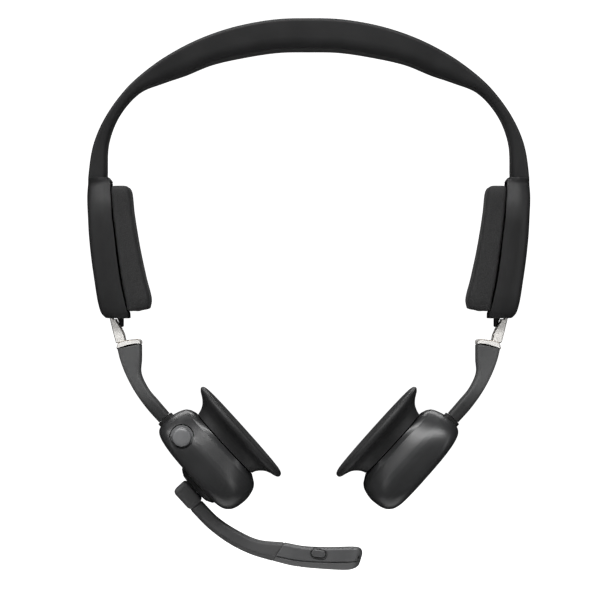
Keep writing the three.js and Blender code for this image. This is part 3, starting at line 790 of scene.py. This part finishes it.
rail = plate("LeftSlideRail", railOutline(), railLook["width"])
railCap = plate("LeftRailCap", roundOutline(railLook["cap"], 5), railLook["capWidth"])
guard = plate("LeftCableGuard", roundOutline(railLook["guard"], 4), railLook["guardWidth"])
for piece, kind, body, slot in ((rail, "slide_rail", "arm", "polished_steel"),
                                (railCap, "rail_cap", "arm", "polished_steel"),
                                (guard, "cable_guard", "headband", "inner_plastic")):
    other = twin(piece, piece.name.replace("Left", "Right"))
    for obj, label in ((piece, "left"), (other, "right")):
        edges = [face.material_index for face in obj.data.polygons]
        fit(obj, label + "_arm" if body == "arm" else body, slot, label + "_" + kind)
        if body == "arm":
            # the eased edges take the dark brown painted reflection
            obj.data.materials.append(looks["steel_edge"])
            obj.data.polygons.foreach_set("material_index", edges)
armBody = arm.build("LeftArm", armShape, 60, 0, 1, *armLook["endRounds"], necks=("low",))
cut(armBody, tube("WireBore", armLook["wireRoute"], armLook["wireBore"]),
    shift(rod("PinBore", armLook["pinBore"], *armLook["pinReach"], 48), podPlace @ swivelTurn),
    shift(slab("ArmEnd", *armLook["endCut"]), podPlace @ swivelTurn))
armTwin = twin(armBody, "RightArm")
fit(armBody, "left_arm", "arm_plastic", "left_arm_shell")
fit(armTwin, "right_arm", "arm_plastic", "right_arm_shell")
print("arms made")


# pods
callLook = {
    "x": -13.7, "z": -0.3, "hole": 4.2, "pocket": 5.2, "pocketDepths": (9, 14),
    # the recess is a shallow dish square to the crowned face
    "floor": 13.7, "lip": 4.5, "clear": 6.3, "move": (0.46, -0.34), "facing": (-0.12, -1, 0.14),
    "holeDepths": (12, 20),
    "profile": [(0, 16.45, 0), (1.6, 16.4, 0.8), (2.9, 16.15, 0.7), (3.6, 15.8, 0.4), (3.9, 15.3, 0.3),
                (3.9, 13.7, 0.1), (4.8, 13.7, 0.1), (4.8, 13.0, 0.1), (0, 13.0, 0)],
}
hubX = 6.0  # the boom's axle, along the pod
axleBore = 3.3
podLook = {
    "levels": [  # height and x at the arm's end, height and x at the far end, half width, squareness
        (-8.7, -14.5, -9.3, 16, 12.3, 2.45), (-8.35, -17, -9.15, 17.8, 13.5, 2.58),
        (-7.9, -18.9, -8.7, 19.5, 14.5, 2.72), (-7.2, -20.7, -8, 20.9, 15.3, 2.92),
        (-6.4, -21.8, -7, 21.95, 15.75, 3.13), (-5.6, -22.4, -6, 22.75, 15.93, 3.26),
        (-4.6, -22.8, -5, 23.2, 16, 3.4), (-3, -23.05, -3.3, 23.7, 15.98, 3.4),
        (-1, -23.15, -1, 23.97, 15.9, 3.2), (1, -23.1, 1, 24.05, 15.6, 2.99),
        (3, -22.85, 3, 23.8, 14.95, 2.79), (4.5, -22.45, 4.5, 23.4, 14.25, 2.65),
        (6, -21.95, 6, 22.85, 13.5, 2.52), (7, -21.5, 7, 22.25, 13, 2.45),
        (8, -20.9, 8, 21.35, 12.5, 2.38),
    ],
    "deck": [(8.3, -20.6, 8.3, 20.9, 12.25, 2.52), (9.3, -19.3, 9.3, 19.2, 12.1, 2.45),
             (10, -17.4, 10, 17.9, 12, 2.38)],
    "hollow": ((-20.2, -12.4, -6.7), (21.2, 12.4, 8.1), (9, 8, 4.5), (9, 8, 6), 2.3, 16),
    "opening": ((-13.3, -8.3, 5), (14.9, 8.3, 12), (4, 4, 0.1), (4, 4, 0.1), 2, 16),
    "lid": ((-13, -8, 8.4), (14.6, 8, 9.9), (4, 4, 0.2), (4, 4, 0.4), 2, 16),
    "collar": ((-24.4, -5.5, -4.6), (-22.3, 5.5, 2.35), (0.35, 1.9, 1.9), (0.35, 1.9, 1.9), 2.2, 16),
    "postHole": (3.2, 6, 12), "postX": 1, "port": ((-13.3, 9, -2.3), (-4.7, 18, 2.3)),
    "axleDepths": (-12, -5),
}


def oval(level, count=144):
    lowHeight, lowX, highHeight, highX, width, power = level
    middle, length = (lowX + highX) / 2, (highX - lowX) / 2
    out = []
    for j in range(count):
        turn = 2 * math.pi * j / count
        c, s = math.cos(turn), math.sin(turn)
        scale = (abs(c) ** power + abs(s) ** power) ** (-1 / power)
        x = c * scale
        height = lowHeight + (highHeight - lowHeight) * (x + 1) / 2
        out.append(Vector((middle + length * x, width * s * scale, height)))
    return out


def levelsBetween(stations, steps):  # the rows of numbers, read off a smooth curve
    curves = [spline([row[i:i + 3] for row in stations]) for i in (0, 3)]
    return [tuple(curves[0](i / steps)) + tuple(curves[1](i / steps)) for i in range(steps + 1)]


def alongY(obj, x, z):
    return shift(obj, Matrix.Translation(Vector((x, 0, z)) * mm) @ Matrix.Rotation(math.pi / 2, 4, "X"))


def swivelBore():
    reach = armLook["podBoreReach"]
    return shift(rod("PinBore", armLook["pinBore"], -reach, reach, 40), swivelTurn)


def callCutters():  # the button's recess, hole and pocket
    x, z = callLook["x"], callLook["z"]
    floor, lip = callLook["floor"], callLook["lip"]
    top = floor + callLook["clear"]
    dish = [(0, floor), (lip - 0.15, floor), (lip, floor + 0.15), (lip + 0.1, floor + 1.25),
            (lip + 0.35, floor + 1.5), (lip + 1.2, floor + 1.8), (lip + 1.2, top), (0, top)]
    right, up = callLook["move"]
    spot = Vector((x + right, -floor, z + up)) * mm
    facing = Vector(callLook["facing"])
    lean = Vector((0, -1, 0)).rotation_difference(facing).to_matrix().to_4x4()
    recess = alongY(turned("Dish", dish), x + right, z + up)
    shift(recess, Matrix.Translation(spot) @ lean @ Matrix.Translation(-spot))
    hole = alongY(rod("ButtonHole", callLook["hole"], *callLook["holeDepths"], 96), x, z)
    pocket = alongY(rod("ButtonPocket", callLook["pocket"], *callLook["pocketDepths"], 96), x, z)
    return [recess, hole, pocket]


def podShell(name, isLeft):
    low, lowX, high, highX, width, power = podLook["levels"][0]
    cap = [(low, lowX * k, high, highX * k, width * k, 3) for k in (0.02, 0.5, 0.9)]
    body = levelsBetween(podLook["levels"], 70)
    pod = rings(name, [oval(level) for level in cap + body + podLook["deck"]], 30)
    cutters = [softBox("PodHollow", *podLook["hollow"]), softBox("LidOpening", *podLook["opening"])]
    cutters.append(swivelBore())
    if isLeft:
        cutters += callCutters()
        cutters.append(rod("AxleHole", axleBore, *podLook["axleDepths"], 96, hubX))
    else:
        cutters.append(slab("PortHole", *podLook["port"]))
    return cut(pod, *cutters)


cupLook = {
    "levels": [  # the same six numbers for each
        (10.5, -16, 10.5, 17.5, 12, 2.3), (11.6, -16.3, 11.6, 17.8, 12.1, 2.3),
        (13, -16.9, 13.1, 18.7, 12.4, 2.25), (14.3, -17.7, 14.3, 19.8, 13, 2.2),
        (15.3, -18.7, 15.3, 21.1, 14, 2.2), (16.15, -19.8, 15.95, 22.6, 15.1, 2.15),
        (16.85, -21, 16.4, 24, 16.2, 2.15), (17.5, -22.2, 16.8, 25.2, 17.1, 2.15),
        (18.2, -23, 17.3, 26, 17.7, 2.15), (18.8, -23.4, 18, 26.35, 17.95, 2.15),
        (19.35, -23.3, 18.7, 26.25, 17.9, 2.15), (19.85, -22.9, 19.3, 25.8, 17.6, 2.15),
        (20.15, -22.2, 19.65, 25, 17.1, 2.15), (20.3, -21.4, 19.85, 24.1, 16.4, 2.15),
    ],
    "post": 7.4, "postTop": 16.6, "postEase": 0.2, "base": 10.5,
    "hollow": 0.35, "tilt": 0.22, "power": 2.15,
}


def contactCup(name):
    post, top, base = cupLook["post"], cupLook["postTop"], cupLook["base"]
    ease, centre = cupLook["postEase"], podLook["postX"]
    bore = ((top, 0.01), (top, post - ease), (top - ease, post), (base + ease, post), (base, post + ease))
    stack = [(h, centre - r, h, centre + r, r, 2) for h, r in bore]
    stack += levelsBetween(cupLook["levels"], 70)
    last = cupLook["levels"][-1]
    middle, length = (last[1] + last[3]) / 2, (last[3] - last[1]) / 2
    for share in (0.9, 0.75, 0.5, 0.25, 0.02):  # the face is hollowed very slightly
        sink = cupLook["hollow"] * (1 - share ** 4)
        tilt = cupLook["tilt"] * (1 - share)
        stack.append((last[0] - sink - tilt, middle - length * share, last[2] - sink + tilt,
                      middle + length * share, last[4] * share, cupLook["power"]))
    return rings(name, [oval(level) for level in stack], 50)


for isLeft in (True, False):
    label = "left" if isLeft else "right"
    podObj = shift(podShell(label.title() + "PodShell", isLeft), podPlace)
    cup = shift(contactCup(label.title() + "ContactCup"), podPlace)
    lid = softBox(label.title() + "PodLid", *podLook["lid"])
    shift(cut(lid, rod("PostHole", *podLook["postHole"], 48, podLook["postX"])), podPlace)
    ring = softBox(label.title() + "PodCollar", *podLook["collar"])
    shift(cut(ring, swivelBore()), podPlace)
    if not isLeft:
        for obj in (podObj, cup, lid, ring):
            shift(obj, mirror)
    fit(podObj, label + "_pod", "pod_plastic", label + "_pod_shell")
    fit(cup, label + "_pod", "contact_silicone", label + "_contact_cup")
    fit(lid, label + "_pod", "inner_plastic", label + "_pod_lid")
    fit(ring, label + "_pod", "inner_plastic", label + "_pod_collar")
print("pods made")


# call button
callCap = alongY(turned("CallButton", softProfile(callLook["profile"])), callLook["x"], callLook["z"])
shift(callCap, podPlace)
fit(callCap, "call_button", "pod_plastic", "call_button", look="button_plastic")


# boom
hubProfile = [(3.3, -9), (9.3, -9), (9.85, -9.1), (10, -9.5), (9.6, -10.3), (8.3, -11.1), (7.7, -11.35),
              (7.4, -11.6), (7.1, -11.7), (3.3, -11.7)]
hubBase = shift(turned("BoomBase", hubProfile, hubX), podPlace)
fit(hubBase, "left_pod", "inner_plastic", "boom_base")

headLook = {
    "size": ((0.6, -5.2, -19.25), (11.6, 5.2, -12.05), (2.2, 2.0, 2.0), (2.6, 1.6, 1.6), 2.2, 26),
    "socket": (-15.3, -10),
}
head = softBox("BoomHead", *headLook["size"])
shift(cut(head, rod("AxleSocket", axleBore, *headLook["socket"], 96, hubX)), podPlace)
fit(head, "boom", "pod_plastic", "boom_head", look="boom_rubber")

stalk = Bar([(12, -13.2, 12, -19.1, 4.3), (22, -12.8, 22.5, -18.7, 4.2), (32, -10.2, 33, -16.6, 4.2),
             (40, -6.7, 42, -13.1, 4.3), (48, 0.3, 50.1, -8.4, 4.5)])
mic = Bar([(48.4, 0.6, 50.4, -8.1, 4.5), (55, 5.6, 58, -3, 4.6), (62, 12.6, 66, 4, 4.6),
           (69.3, 20.8, 74.1, 12, 4.6), (70.9, 22.2, 75.4, 13.8, 4.45), (72.4, 22.5, 76.2, 15.6, 2.9),
           (73.9, 21.6, 76.4, 17.3, 1.1)])
boomLook = {
    "stalkRidge": (0.76, 0.73), "stalkCrest": 1.7, "stalkEdge": 0.9,  # the ridge's depth at both ends
    "micRidge": (0.72, 0.56), "micCrest": 1.3, "micEdge": 0.25, "micTip": 1.3, "endRound": 0.15,
    "keel": 0.36, "crown": 0.84, "grooveHalf": 0.45, "grooveDepth": 0.7, "grooveStep": 0.2,
    "wall": 1.6, "sideWall": 1.8, "hollowTo": 0.66, "hollowMove": (-0.3, 0, -0.3),
    "lowerHole": ((-3.9, -2.0, -215.9), (0, -0.75, -0.66), 0.75),  # place, direction and radius
    "tipHole": ((21.0, -3.0, -212.3), (0.8, -0.6, 0), 0.8), "holeLength": 6,
}


def keeled(ridge, crest, edge, groove=False):  # flat sides down to a ridge, then a narrower underside
    def shape(span, half, t, inset):
        at = span * (ridge[0] + (ridge[1] - ridge[0]) * t)
        top, keel = half * boomLook["crown"] - inset, half * boomLook["keel"]
        low, high = inset, span - inset
        at = min(max(at, low + 0.4), high - 0.3)
        wide = half - inset
        keel = min(keel + (1 - (span - at) / span) * half * 0.35, wide - 0.2)
        if groove:  # the two halves of the case meet in a fine groove along the ridge
            under = wide - boomLook["grooveStep"]
            near, far = at - boomLook["grooveHalf"], at + boomLook["grooveHalf"]
            left = [(near, -wide, edge), (at, -under + boomLook["grooveDepth"], 0.1), (far, -under, 0.25)]
        else:
            left = [(at, -wide, edge)]
        left = [(low, -top, crest)] + left + [(high, -keel, crest)]
        return fillets(left + [(x, -y, r) for x, y, r in reversed(left)], 6)
    return shape


endRound = boomLook["endRound"]
stalkSection = keeled(boomLook["stalkRidge"], boomLook["stalkCrest"], boomLook["stalkEdge"])
stalkBody = stalk.build("BoomStalk", stalkSection, 70, 0, 1, endRound, endRound, necks=("low", "high"))
shift(stalkBody, podPlace)
fit(stalkBody, "boom", "boom_rubber", "boom_stalk")

muteLook = {
    "x": 61.0, "z": 8.3, "length": 3.0, "height": 1.5, "slope": math.atan2(0.65, 0.76),
    "cap": (0, -5.15, -2.2), "capTops": ((0, 0.35), (0.12, 0.12), (0.35, 0)),
    # each cutter's margin round the cap, and its depths
    "hole": (0.3, -6, -2.5), "pocket": (0.7, -3.4, 0.6), "dish": (0.75, -7, -4.0),
    "dishMove": (0.35, 0, -0.15),
}


def mutePill(name, margin, low, high, domed=False):  # a round-ended bar standing along y
    loops = []
    radius = muteLook["height"] + margin
    reach = muteLook["length"] - muteLook["height"]
    tops = [(low + down, inset) for down, inset in muteLook["capTops"]] if domed else [(low, 0)]
    for y, inset in tops + [(high, 0)]:
        loop = []
        for k in range(48):
            turn = 2 * math.pi * k / 48
            x = (radius - inset) * math.cos(turn)
            z = (radius - inset) * math.sin(turn)
            loop.append(Vector((x + (reach if x > 0 else -reach), y, z)))
        loops.append(loop)
    pill = rings(name, loops)
    place = Matrix.Translation(Vector((muteLook["x"], 0, muteLook["z"])) * mm)
    return shift(pill, place @ Matrix.Rotation(-muteLook["slope"], 4, "Y"))


def moved(obj, by):
    return shift(obj, Matrix.Translation(Vector(by) * mm))


def drill(name, place, way, radius):
    half = boomLook["holeLength"] / 2
    turn = Vector(way).to_track_quat("Z", "Y").to_matrix().to_4x4()
    return shift(rod(name, radius, -half, half), Matrix.Translation(Vector(place) * mm) @ turn)


def micHollowShape(span, half, t, inset):
    return oblong(boomLook["wall"], span - boomLook["wall"], half - boomLook["sideWall"])


micSection = keeled(boomLook["micRidge"], boomLook["micCrest"], boomLook["micEdge"], True)
micBody = mic.build("MicCase", micSection, 90, 0, 1, endRound, boomLook["micTip"])
micHollow = mic.build("MicHollow", micHollowShape, 16, 0, boomLook["hollowTo"], 0, 0)
cut(micBody, moved(micHollow, boomLook["hollowMove"]),
    mutePill("MuteHole", *muteLook["hole"]),
    mutePill("MutePocket", *muteLook["pocket"]),
    moved(mutePill("MuteDish", *muteLook["dish"]), muteLook["dishMove"]))
shift(micBody, podPlace)
cut(micBody, drill("LowerHole", *boomLook["lowerHole"]), drill("TipHole", *boomLook["tipHole"]))
fit(micBody, "boom", "pod_plastic", "mic_case", look="mic_plastic")

muteCap = mutePill("MuteButton", *muteLook["cap"], True)
shift(muteCap, podPlace)
fit(muteCap, "mute_button", "boom_rubber", "mute_button", look="mic_plastic")
print("boom made")


# the nodes that stay as they are
keptEdge = {"width": 0.12, "sharpAngle": 30, "bevelAngle": 35}
slots = {part["node"]: part["material_slot"] for part in frame["record"]["subparts"]}
for name, node in frame["nodes"].items():
    wear(node, slots[name])
    node.data.polygons.foreach_set("use_smooth", [True] * len(node.data.polygons))
    node.data.set_sharp_from_angle(angle=math.radians(keptEdge["sharpAngle"]))
    if not node.hide_render:
        edge = node.modifiers.new("Edge", "BEVEL")
        edge.width = keptEdge["width"] * mm
        edge.segments = 2
        edge.limit_method = "ANGLE"
        edge.angle_limit = math.radians(keptEdge["bevelAngle"])


# stage
lowest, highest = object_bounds()
stageLook = {"drop": 0.06, "half": 4, "pale": 0.35, "white": 0.62, "dome": 7.0}
floorZ = lowest.z - stageLook["drop"]


def paleFloor():  # plain pale grey under the object, running out to the white of the surround
    paint = Paint("PaleFloor", Roughness=0.85, Specular_IOR_Level=0.1)
    cloud = paint.speckle(400, 2)
    reach = paint.add("ShaderNodeVectorMath", {"operation": "LENGTH"}, {0: paint.place}, output=1)
    far = reach.between(stageLook["pale"], stageLook["white"])
    paint.set(Base_Color=cloud.blend((0.6, 0.6, 0.6), (0.63, 0.63, 0.63)), Emission_Strength=1.0)
    paint.set(Emission_Color=far.blend((0.08, 0.08, 0.08), (1, 1, 1)))
    half = stageLook["half"]
    points = [(-half, -half, floorZ), (half, -half, floorZ), (half, half, floorZ), (-half, half, floorZ)]
    mesh = bpy.data.meshes.new("Floor")
    mesh.from_pydata(points, [], [(0, 1, 2, 3)])
    obj = newObject("Floor", mesh)
    mesh.materials.append(paint.material)
    obj.visible_glossy = False


def paleSurround():  # a plain white dome, seen but giving no light
    paint = Paint("WhiteSurround", Base_Color=(0.9, 0.9, 0.9), Emission_Color=(1, 1, 1))
    cloud = paint.speckle(3000, 1)
    paint.set(Roughness=0.9 + (cloud - 0.5) * 0.1, Emission_Strength=1.0)
    work = bmesh.new()
    bmesh.ops.create_icosphere(work, subdivisions=4, radius=stageLook["dome"])
    bmesh.ops.reverse_faces(work, faces=work.faces)
    mesh = bpy.data.meshes.new("Surround")
    work.to_mesh(mesh)
    work.free()
    obj = newObject("Surround", mesh)
    mesh.materials.append(paint.material)
    for ray in ("diffuse", "glossy", "transmission", "shadow", "volume_scatter"):
        setattr(obj, "visible_" + ray, False)


paleFloor()
paleSurround()


def softLight(name, place, target, size, power):
    data = bpy.data.lights.new(name, "AREA")
    data.shape = "RECTANGLE"
    data.size, data.size_y = size
    data.energy = power
    obj = newObject(name, data)
    obj.location = place
    obj.visible_camera = False
    obj.rotation_mode = "QUATERNION"
    obj.rotation_quaternion = (Vector(target) - Vector(place)).to_track_quat("-Z", "Y")


middle = (lowest + highest) / 2
lights = {  # place, size and power
    "FrontHigh": ((-0.15, -0.57, 0.59), (1.3, 0.22), 15),
    "Overhead": ((0, 0.1, 1.0), (1.2, 0.25), 3),
    "BackHigh": ((0, 0.8, 0.75), (1.0, 0.3), 6),
    "LeftStrip": ((-0.95, -0.75, -0.1), (0.06, 1.0), 1.6),
    "RightStrip": ((0.95, -0.75, -0.1), (0.06, 1.0), 3),
    "Under": ((0, -0.01, -0.284), (0.16, 0.12), 0.08),
}
for name, (place, size, power) in lights.items():
    softLight(name, place, middle, size, power)

world = bpy.data.worlds.new("Studio")
world.use_nodes = True
world.node_tree.nodes["Background"].inputs["Color"].default_value = (1, 1, 1, 1)
world.node_tree.nodes["Background"].inputs["Strength"].default_value = 0.13
world.cycles_visibility.glossy = False
bpy.context.scene.world = world
bpy.context.scene.view_settings.view_transform = "Standard"

view = {"x": -3.65, "z": -104.4, "distance": 1.2, "width": 0.252, "sensor": 36}
camera = newObject("Camera", bpy.data.cameras.new("Camera"))
camera.location = (view["x"] * mm, -view["distance"], view["z"] * mm)
camera.rotation_euler = (math.pi / 2, 0, 0)
camera.data.sensor_width = view["sensor"]
camera.data.lens = view["sensor"] * view["distance"] / view["width"]
bpy.context.scene.camera = camera
print("stage made")
